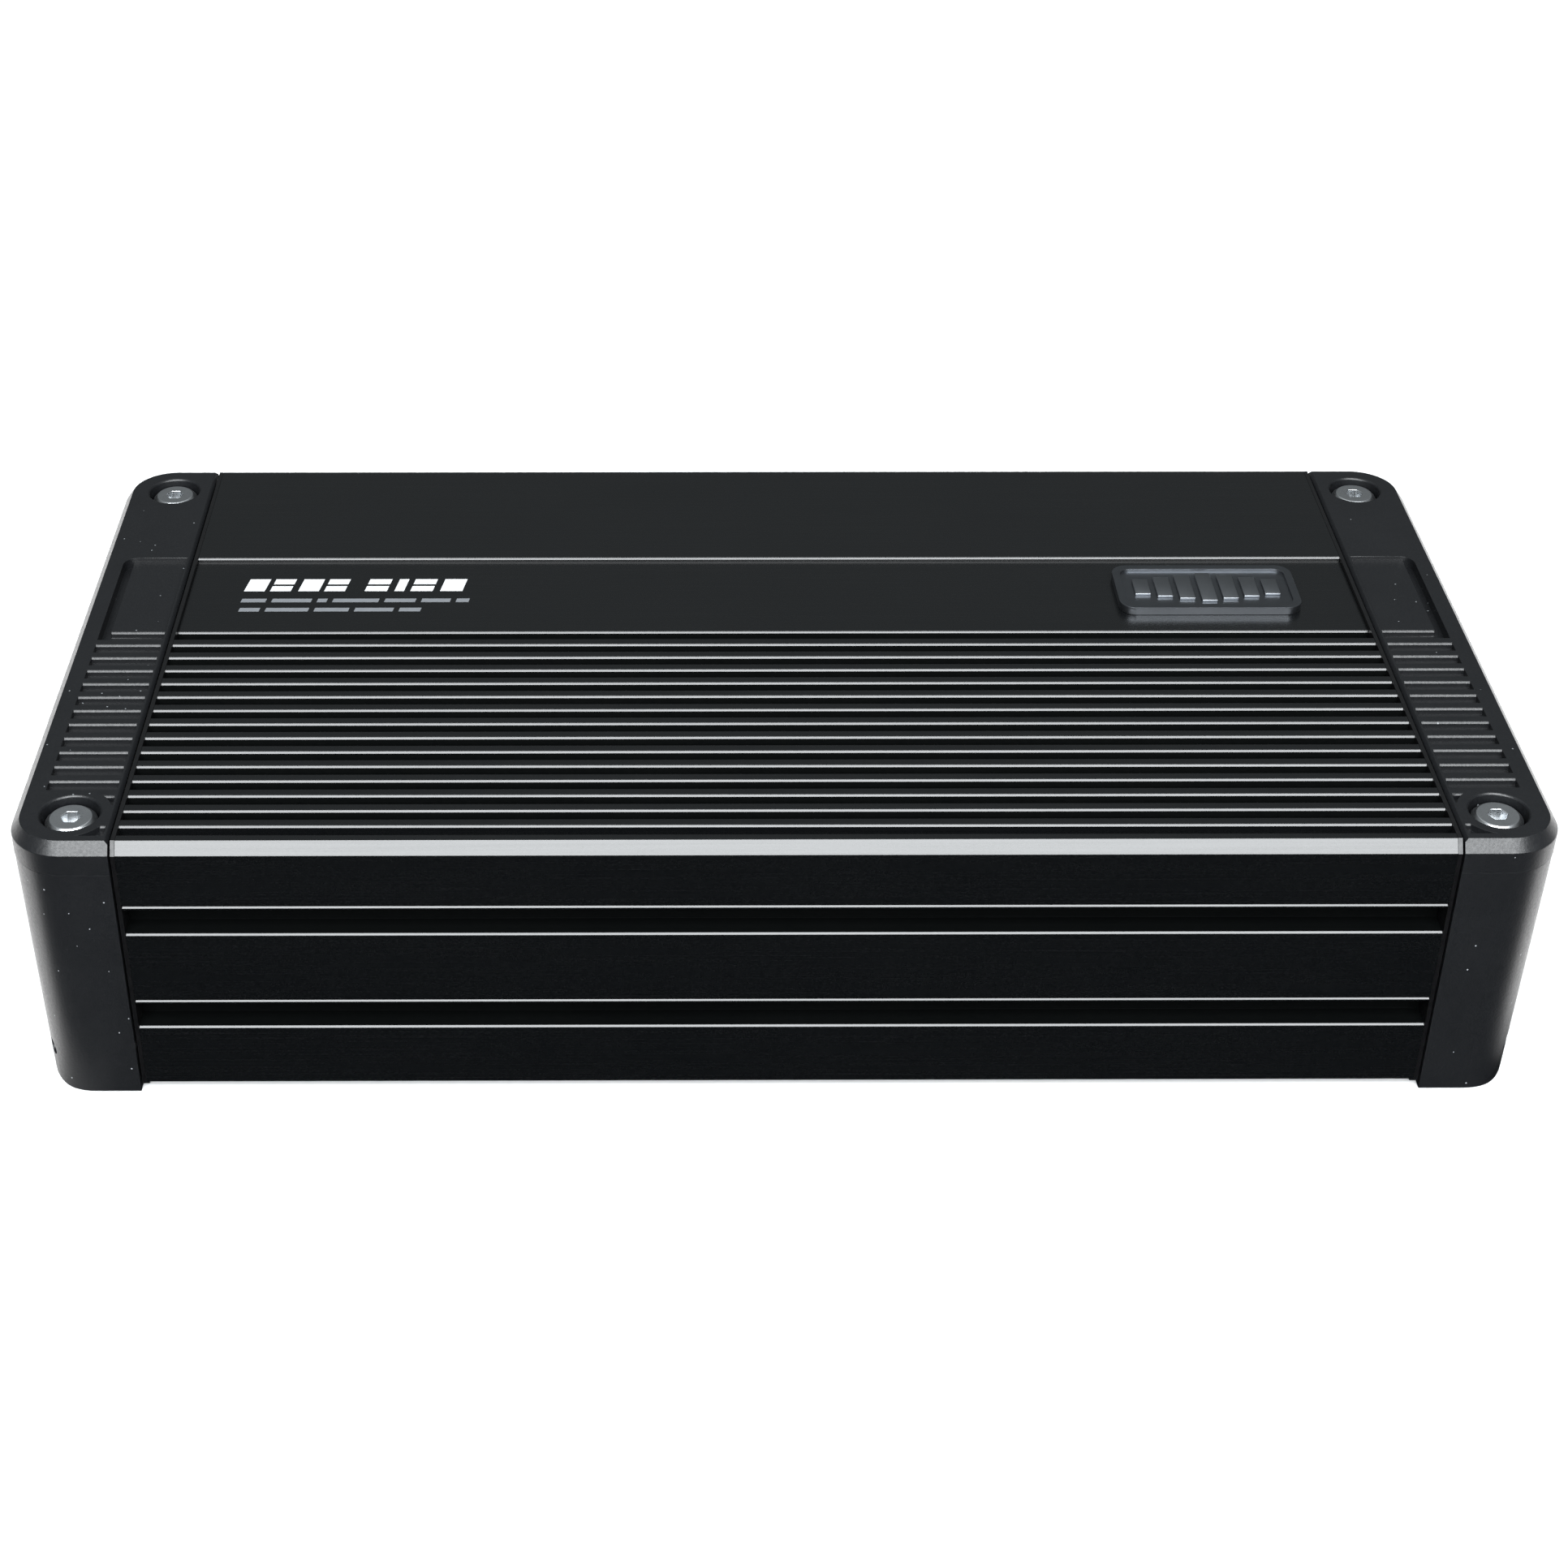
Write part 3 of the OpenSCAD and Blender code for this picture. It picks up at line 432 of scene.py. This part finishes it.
def finished_copy(node, name, material, width, shape=None):
    """A part's own mesh, merged into whole faces and with its edges rounded by a width in
    millimetres, in its place. shape is a function that reshapes it before the rounding."""
    original = frame["nodes"][node]
    piece = original.copy()
    piece.data = original.data.copy()
    for key in list(piece.keys()):
        if key.startswith("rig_"):
            del piece[key]
    piece.name = name
    piece.parent = None
    bpy.context.scene.collection.objects.link(piece)
    pick(piece)
    bpy.ops.object.mode_set(mode="EDIT")
    bpy.ops.mesh.select_all(action="SELECT")
    bpy.ops.mesh.remove_doubles(threshold=2e-6)
    bpy.ops.mesh.dissolve_limited(angle_limit=math.radians(1))
    bpy.ops.object.mode_set(mode="OBJECT")
    if piece.data.has_custom_normals:
        bpy.ops.mesh.customdata_custom_splitnormals_clear()
    if shape:
        shape(piece)
    if width:
        soften(piece, width)
    dress(piece, material)
    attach(piece, original["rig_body"])
    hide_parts(node)
    return piece


DRAFT = 1.0             # how far the outer wall leans in at the feet, mm
DRAFT_FROM_X = 121.5    # where along the length the lean begins, mm from the middle
DRAFT_OVER = 6.5        # length over which it grows to the full lean, mm
DRAFT_TOP = 49.9        # height at which the wall is still upright, mm


def draft_outer_wall(piece):
    """A casting leaves its tool with draft: the outer wall leans in towards the feet."""
    for vertex in piece.data.vertices:
        reach = (abs(vertex.co.x) / MM - DRAFT_FROM_X) / DRAFT_OVER
        if reach > 0:
            blend = min(1.0, reach)
            drop = max(0.0, 1 - vertex.co.z / MM / DRAFT_TOP)
            lean = DRAFT * MM * drop * blend * blend * (3 - 2 * blend)
            vertex.co.x -= math.copysign(lean, vertex.co.x)


# ---- The big visible parts -------------------------------------------------

extrusion = finished_copy("heatsink_body", "finned_extrusion", EXTRUSION, 0.1)
# The grooves' faces get a second finish: painted shade, dead black where they lie in shadow
extrusion.data.materials.append(GROOVE_PAINTED_SHADE)
RIB_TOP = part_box("heatsink_body")[1].z
# Where the groove faces painted dark as shade lie: millimetres out from the middle, and under the
# ribs' tops
SIDE_GROOVE_OUT, SIDE_GROOVE_UNDER = (61, 65.5), (12.5, 38)
RIB_GROOVE_OUT, RIB_GROOVE_UNDER = 60, (0.9, 4)
RIB_EDGE_UNDER = 1.7    # slanted faces higher than this are the ribs' bright edges
PAINTED_SHADE_INDEX = 1
for face in extrusion.data.polygons:
    out, under = abs(face.center.y) / MM, (RIB_TOP - face.center.z) / MM
    square_on = max(abs(face.normal.y), abs(face.normal.z)) > 0.95
    in_side = (SIDE_GROOVE_OUT[0] < out < SIDE_GROOVE_OUT[1]
               and SIDE_GROOVE_UNDER[0] < under < SIDE_GROOVE_UNDER[1])
    in_top = (out < RIB_GROOVE_OUT and RIB_GROOVE_UNDER[0] < under < RIB_GROOVE_UNDER[1]
              and (square_on or under > RIB_EDGE_UNDER))
    # Faces inside the grooves take the painted shade
    if in_side or in_top:
        face.material_index = PAINTED_SHADE_INDEX

finished_copy("left_end_plate", "left_plate", SHEET, 0)
finished_copy("right_end_plate", "right_plate", SHEET, 0)
finished_copy("left_cap_base", "left_cap_shell", CAP, 0.1, draft_outer_wall)
finished_copy("right_cap_base", "right_cap_shell", CAP, 0.1, draft_outer_wall)
finished_copy("left_cap_cover", "left_cap_lid", CAP, 0.1)
finished_copy("right_cap_cover", "right_cap_lid", CAP, 0.1)
finished_copy("cover_bolts", "lid_bolts", BOLT, 0.12)
finished_copy("badge", "badge_plate", BADGE, 0.12)

# The remaining parts keep the shape they have, each in its own finish
CARRIED = {
    SHEET: ["bottom_plate"],
    OXIDE: ["bottom_plate_screws"],
    SCREW: ["end_screws", "board_screws", "clamp_screws", "front_clamp_bar", "rear_clamp_bar"],
    BOARD: ["main_board", "control_board"],
    NYLON: ["board_header", "remote_port"],
    EPOXY: ["power_transistors", "output_transistors"],
    BRASS: ["board_standoffs"],
    FERRITE: ["transformer_core"],
    COPPER: ["transformer_winding", "inductor_windings"],
    IRON_POWDER: ["inductor_cores"],
    SLEEVE: ["storage_capacitors", "filter_capacitors"],
    PAD: ["thermal_pads"],
    GOLD: ["remote_port_contacts"],
    NICKEL: ["control_pots", "pot_nuts", "switch_housings", "power_terminal_screws",
             "speaker_terminal_clamps", "fuse_clips"],
    BLADE: ["fuse_blades"],
    BLUE_LENS: ["power_light"],
    RED_LENS: ["protect_light"],
}
for finish, nodes in CARRIED.items():
    for node in nodes:
        dress(frame["nodes"][node], finish)

# Connectors and controls seen through the windows and under the lids
finished_copy("input_jack_housing", "jack_block", NYLON, 0.15)
finished_copy("input_jack_contacts", "jack_shells", GOLD, 0.12)
finished_copy("power_terminal_block", "supply_block", NYLON, 0.2)
finished_copy("power_terminal_clamps", "supply_clamps", NICKEL, 0.12)
finished_copy("speaker_terminal_block", "speaker_block", NYLON, 0.2)
finished_copy("speaker_terminal_screws", "speaker_screws", NICKEL, 0.1)
finished_copy("fuse_holder", "fuse_base", NYLON, 0.2)
finished_copy("fuses", "blade_fuses", FUSE, 0.2)
for control in ("front_gain", "rear_gain", "crossover"):
    finished_copy(f"{control}_knob", f"{control}_grip", KNOB, 0.14)
    dress(frame["nodes"][f"{control}_shaft"], NICKEL)
for switch in ("filter", "input_mode"):
    finished_copy(f"{switch}_slider", f"{switch}_tab", KNOB, 0.12)


# ---- Badge relief and the print on the name band ---------------------------

def block(name, middle, size, turned=(0, 0, 0)):
    """A plain block at its place, in millimetres, for an edge or a rim to be shaped."""
    bpy.ops.object.select_all(action="DESELECT")
    bpy.ops.mesh.primitive_cube_add(
        size=1, location=[m * MM for m in middle], scale=[s * MM for s in size],
        rotation=turned)
    made = bpy.context.object
    made.name = name
    pick(made)
    bpy.ops.object.transform_apply(location=True, rotation=True, scale=True)
    return made


def round_rim(piece, width, steps=1):
    """Bevels every edge of a small piece by a width in millimetres."""
    pick(piece)
    bpy.ops.object.mode_set(mode="EDIT")
    bpy.ops.mesh.select_all(action="SELECT")
    bpy.ops.mesh.bevel(offset=width * MM, segments=steps, affect="EDGES")
    bpy.ops.object.mode_set(mode="OBJECT")


def upright_bar(name, middle, size, slant, base, height, rounded):
    """A bar that stands on a flat surface: its rear edge may lean along X, its rim is rounded.

    middle is its place in X and Y, size its length and depth, base the height it stands at, and
    slant how far its rear edge is moved, all in millimetres.
    """
    bar = block(name, (*middle, base + height / 2), (*size, height))
    bpy.ops.object.mode_set(mode="EDIT")
    bpy.ops.mesh.select_all(action="DESELECT")
    bpy.ops.object.mode_set(mode="OBJECT")
    for vertex in bar.data.vertices:
        vertex.select = vertex.co.y > middle[1] * MM
    bpy.ops.object.mode_set(mode="EDIT")
    bpy.ops.mesh.select_mode(type="VERT")
    bpy.ops.transform.translate(value=(slant * MM, 0, 0))
    bpy.ops.object.mode_set(mode="OBJECT")
    if rounded:
        round_rim(bar, rounded, 3)
    bpy.ops.object.shade_smooth_by_angle(angle=SMOOTH)
    return bar


def joined(bars, name):
    """Several bars made into one piece."""
    bpy.ops.object.select_all(action="DESELECT")
    for bar in bars:
        bar.select_set(True)
    bpy.context.view_layer.objects.active = bars[0]
    bpy.ops.object.join()
    bars[0].name = name
    return bars[0]


# A row of seven upright bars, tallest in the middle, stands in the badge's sunk field
FIELD = BADGE_MIDDLE.z + 0.3
BARS, BAR_PITCH, BAR_LENGTH, BAR_HEIGHT, BAR_RIM = 7, 4.05, 2.9, 0.45, 0.1
TALLEST, SHORTER_EACH = 10.2, 1.6
reliefs = []
for i in range(BARS):
    from_middle = i - BARS // 2
    reliefs.append(upright_bar(
        f"relief_{i}", (BADGE_MIDDLE.x + from_middle * BAR_PITCH, BADGE_MIDDLE.y),
        (BAR_LENGTH, TALLEST - SHORTER_EACH * abs(from_middle)), 0, FIELD, BAR_HEIGHT, BAR_RIM))
settle(joined(reliefs, "badge_relief"), "amplifier", RELIEF)

# Print: a row of slanted white blocks, some split in two, over two rows of small grey dashes
INK = 0.02              # thickness of the print
LEAN = 0.16             # how far a block leans along X for each millimetre of its depth
BLOCK_ROW = 20.0        # the row's place in Y, from the middle of the amplifier
HALVES = ((18.7, 1.9), (21.3, 1.9))
WHOLE = ((BLOCK_ROW, 4.5),)
white_marks = []
for i, (start, width, split) in enumerate((
        (-99.3, 3.9, False), (-94.2, 3.9, True), (-89.1, 3.9, False), (-84.0, 3.9, True),
        (-76.4, 4.2, True), (-71.0, 1.8, False), (-67.8, 4.2, True), (-62.4, 4.2, False))):
    for level, depth in HALVES if split else WHOLE:
        white_marks.append(upright_bar(
            f"block_{i}_{level}", (start + width / 2 + LEAN * (level - BLOCK_ROW), level),
            (width, depth), LEAN * depth, BAND_TOP, INK, 0))
settle(joined(white_marks, "band_print_white"), "amplifier", WHITE_INK)
DASH_START, DASH_DEPTH, DASH_LEAN, DASH_GAP = -99.4, 1.3, 0.2, 1.1
grey_marks = []
for row, (level, lengths) in enumerate((
        (14.3, (4.6, 7.4, 1.8, 8.6, 5.8, 5.4, 2.4)), (10.9, (3.8, 8.0, 6.4, 7.2, 4.0)))):
    start = DASH_START
    for i, length in enumerate(lengths):
        grey_marks.append(upright_bar(
            f"dash_{row}_{i}", (start + length / 2, level), (length, DASH_DEPTH), DASH_LEAN,
            BAND_TOP, INK, 0))
        start += length + DASH_GAP
settle(joined(grey_marks, "band_print_grey"), "amplifier", GREY_INK)


# ---- Marks and rings on the two connector panels -----------------------------

def slab(name, low, high):
    """A thin flat bar between two corners in millimetres, with its rim a little rounded."""
    size = [h - l for l, h in zip(low, high)]
    bar = block(name, [(l + h) / 2 for l, h in zip(low, high)], size)
    round_rim(bar, min(size) * 0.2)
    return bar


RING_SIDES = 48
THROUGH = 4.0           # length of the core that cuts a ring's middle out, mm


def washer(name, x_near, x_far, middle, inner, outer):
    """A flat ring about a line along X: a disc with its middle cut out and its rim rounded."""
    bpy.ops.object.select_all(action="DESELECT")
    place = ((x_near + x_far) / 2 * MM, middle[0] * MM, middle[1] * MM)
    turned = (0, math.radians(90), 0)
    bpy.ops.mesh.primitive_cylinder_add(
        vertices=RING_SIDES, radius=inner * MM, depth=THROUGH * MM, location=place,
        rotation=turned)
    core = bpy.context.object
    bpy.ops.object.select_all(action="DESELECT")
    bpy.ops.mesh.primitive_cylinder_add(
        vertices=RING_SIDES, radius=outer * MM, depth=(x_far - x_near) * MM, location=place,
        rotation=turned)
    ring = bpy.context.object
    ring.name = name
    pick(ring)
    cut = ring.modifiers.new("middle", "BOOLEAN")
    cut.operation = "DIFFERENCE"
    cut.solver = "EXACT"
    cut.object = core
    bpy.ops.object.modifier_apply(modifier=cut.name)
    bpy.data.objects.remove(core)
    bpy.ops.object.transform_apply(location=True, rotation=True, scale=True)
    soften(ring, (x_far - x_near) * 0.25)
    return ring


def middle_of(node):
    """The middle of a part's box, in millimetres."""
    low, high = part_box(node)
    return (low + high) / 2 / MM


# The left end plate's outer face, and a ring of eleven ticks about each knob
PANEL_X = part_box("left_end_plate")[0].x / MM
TICKS, FIRST_TICK, TICK_STEP = 11, -140, 28     # degrees, over the knob's whole travel
TICK_RING = 5.85                                # radius of the ring, mm
ticks = []
for control in ("front_gain", "rear_gain", "crossover"):
    knob = middle_of(f"{control}_knob")
    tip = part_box(f"{control}_knob")[0].x / MM
    for step in range(TICKS):
        turn = math.radians(FIRST_TICK + TICK_STEP * step)
        tick = block(
            f"{control}_tick_{step}",
            (PANEL_X - INK / 2, knob.y + TICK_RING * math.sin(turn),
             knob.z + TICK_RING * math.cos(turn)),
            (INK, 0.28, 0.7), (-turn, 0, 0))
        round_rim(tick, INK / 4)
        ticks.append(tick)
    pointer = slab(f"{control}_pointer", (tip + 0.25, knob.y - 0.3, knob.z + 0.8),
                   (tip + 0.5, knob.y + 0.3, knob.z + 4.1))
    settle(pointer, control, WHITE_INK)
settle(joined(ticks, "dial_ticks"), "amplifier", WHITE_INK)

# White rings for the left channels and red for the right, at the root and the mouth of each jack
JACK_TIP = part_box("input_jack_contacts")[0].x / MM
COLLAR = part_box("input_jack_housing")[0].x / MM
jack_low, jack_high = (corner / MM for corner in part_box("input_jack_contacts"))
JACK_R = 4.15           # radius of a jack's shell
ROOT_RING = (4.2, 5.0)  # inner and outer radius of the ring about a jack's root
MOUTH_RING = (1.65, 3.5)
for colour, finish, y in (("white", WHITE_RING, jack_low.y + JACK_R),
                          ("red", RED_RING, jack_high.y - JACK_R)):
    rings = []
    for z in (jack_low.z + JACK_R, jack_high.z - JACK_R):
        rings.append(washer(f"root_{z}", COLLAR - 0.7, COLLAR, (y, z), *ROOT_RING))
        rings.append(washer(
            f"mouth_{z}", JACK_TIP - 0.12, JACK_TIP + 0.3, (y, z), *MOUTH_RING))
    settle(joined(rings, f"{colour}_jack_rings"), "amplifier", finish)

# Plus and minus signs beside the supply and speaker terminals
BLOCK_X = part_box("power_terminal_block")[1].x / MM
SIGN_HEIGHT = 0.03


def sign(name, middle, reach, width, plus):
    """A plus or a minus sign on the terminal blocks' outer face."""
    y, z = middle
    bars = [slab(f"{name}_across", (BLOCK_X, y - reach, z - width),
                 (BLOCK_X + SIGN_HEIGHT, y + reach, z + width))]
    if plus:
        bars.append(slab(f"{name}_up", (BLOCK_X, y - width, z - reach),
                         (BLOCK_X + SIGN_HEIGHT, y + width, z + reach)))
    return bars


signs = []
SUPPLY_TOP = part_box("power_terminal_block")[1].z / MM
SUPPLY_Y, GROUND_Y = -30.75, -20.25
for plus, y in ((True, SUPPLY_Y), (False, GROUND_Y)):
    signs += sign(f"supply_{y}", (y, SUPPLY_TOP - 2.1), 1.2, 0.22, plus)
speaker_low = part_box("speaker_terminal_block")[0] / MM
COLUMNS, COLUMN_PITCH = 4, 6
ROWS, ROW_PITCH = 2, 12
SIGN_ABOVE_ROW = 7.1
for column in range(COLUMNS):
    for row in range(ROWS):
        signs += sign(f"speaker_{column}_{row}",
                      (speaker_low.y + COLUMN_PITCH * (column + 0.5),
                       speaker_low.z + ROW_PITCH * row + SIGN_ABOVE_ROW),
                      0.5, 0.12, column % 2 == 0)
settle(joined(signs, "polarity_signs"), "amplifier", WHITE_INK)


# ---- Camera, floor and lights ----------------------------------------------

CAMERA_PLACE = (-0.0186, -0.4201, 0.3040)
FOCAL_LENGTH, SENSOR_WIDTH, SHIFT = 61.45, 36, 0.0612
pitch = math.radians(34.13)     # looking down
yaw = math.radians(0.39)        # turned to the right
roll = math.radians(0.12)
across = Vector((math.cos(yaw), -math.sin(yaw), 0))
down = Vector((-math.sin(pitch) * math.sin(yaw), -math.sin(pitch) * math.cos(yaw),
               -math.cos(pitch)))
ahead = Vector((math.cos(pitch) * math.sin(yaw), math.cos(pitch) * math.cos(yaw),
                -math.sin(pitch)))
right = math.cos(roll) * across - math.sin(roll) * down
above = -(math.sin(roll) * across + math.cos(roll) * down)
lens = bpy.data.cameras.new("camera")
lens.lens = FOCAL_LENGTH
lens.sensor_width = SENSOR_WIDTH
lens.shift_x = SHIFT
lens.clip_start = 0.01
lens.clip_end = 50
camera = bpy.data.objects.new("camera", lens)
turned = Matrix((right, above, -ahead)).transposed().to_4x4()
camera.matrix_world = Matrix.Translation(CAMERA_PLACE) @ turned
bpy.context.scene.collection.objects.link(camera)
bpy.context.scene.camera = camera

bpy.ops.object.select_all(action="DESELECT")
bpy.ops.mesh.primitive_plane_add(size=12, location=(0, 0, -0.0003))
floor = bpy.context.object
floor.name = "floor"


PANELS_MIDDLE_X = 7.0           # the two light panels stand evenly about this X, mm
PANEL_EDGE = (122.0, 142.0)     # a panel grows from dark to full between these, mm
PANEL_FRONT_Y = (-78.0, -62.0)  # and fades out towards the front between these, mm
PANEL_STRENGTH = 2.2


def white_card_floor():
    """Matt white card. Reflections don't find it: they find black card all round, which keeps the
    polished faces dark, and a light panel at each end, which draws the caps' rounded corners."""
    material, tree, shader, place = start_finish("white_card_floor", "f2f2f2", 0.0, 0.9)
    shader.inputs["Specular IOR Level"].default_value = 0.1
    parts = add(tree, "ShaderNodeSeparateXYZ", {"Vector": place})
    moved = add(tree, "ShaderNodeMath", {0: parts.outputs["X"], 1: PANELS_MIDDLE_X},
                operation="SUBTRACT")
    out = add(tree, "ShaderNodeMath", {0: moved.outputs[0]}, operation="ABSOLUTE")
    beyond = add(tree, "ShaderNodeMapRange", {
        "Value": out.outputs[0], "From Min": PANEL_EDGE[0], "From Max": PANEL_EDGE[1],
        "To Min": 0.0, "To Max": PANEL_STRENGTH})
    behind = add(tree, "ShaderNodeMapRange", {
        "Value": parts.outputs["Y"], "From Min": PANEL_FRONT_Y[0],
        "From Max": PANEL_FRONT_Y[1], "To Min": 0.0, "To Max": 1.0})
    panel = add(tree, "ShaderNodeMath", {0: beyond.outputs[0], 1: behind.outputs[0]},
                operation="MULTIPLY")
    reflected = add(tree, "ShaderNodeEmission", {
        "Color": (1.0, 1.0, 1.0, 1.0), "Strength": panel.outputs[0]})
    path = add(tree, "ShaderNodeLightPath")
    found = add(tree, "ShaderNodeMixShader", {
        0: path.outputs["Is Glossy Ray"], 1: shader.outputs[0], 2: reflected.outputs[0]})
    output = next(n for n in tree.nodes if n.type == "OUTPUT_MATERIAL")
    tree.links.new(found.outputs[0], output.inputs["Surface"])
    return material


dress(floor, white_card_floor())


def softbox(name, bearing, elevation, distance, size, radiance):
    """A rectangular soft light that faces the amplifier. Bearing 0 is straight in front, and
    radiance is how bright its face is, so a larger one sheds more light."""
    a, e = math.radians(bearing), math.radians(elevation)
    place = Vector((math.sin(a) * math.cos(e), -math.cos(a) * math.cos(e), math.sin(e))) * distance
    lamp = bpy.data.lights.new(name, "AREA")
    lamp.shape = "RECTANGLE"
    lamp.size, lamp.size_y = size
    lamp.energy = radiance * size[0] * size[1] * math.pi
    lamp.color = (0.95, 0.98, 1.0)
    holder = bpy.data.objects.new(name, lamp)
    holder.rotation_mode = "QUATERNION"
    holder.rotation_quaternion = place.to_track_quat("Z", "Y")
    holder.location = place
    bpy.context.scene.collection.objects.link(holder)


softbox("front_softbox", 0, 45, 1.6, (1.9, 1.2), 12.5)
softbox("rear_overhead", 180, 66, 1.8, (1.6, 0.8), 0.6)

world = bpy.data.worlds.new("studio")
bpy.context.scene.world = world
world.use_nodes = True
sky = world.node_tree
sky.nodes.clear()
facing = add(sky, "ShaderNodeTexCoord").outputs["Generated"]
height = add(sky, "ShaderNodeSeparateXYZ", {"Vector": facing}).outputs["Z"]
glow = add(sky, "ShaderNodeMapRange", {
    "Value": height, "From Min": 0.3, "From Max": 1.0, "To Min": 0.12, "To Max": 0.3})
light = add(sky, "ShaderNodeBackground", {
    "Color": (0.9, 0.97, 1.0, 1.0), "Strength": glow.outputs[0]})
add(sky, "ShaderNodeOutputWorld", {"Surface": light.outputs[0]})

bpy.context.scene.view_settings.view_transform = "Standard"
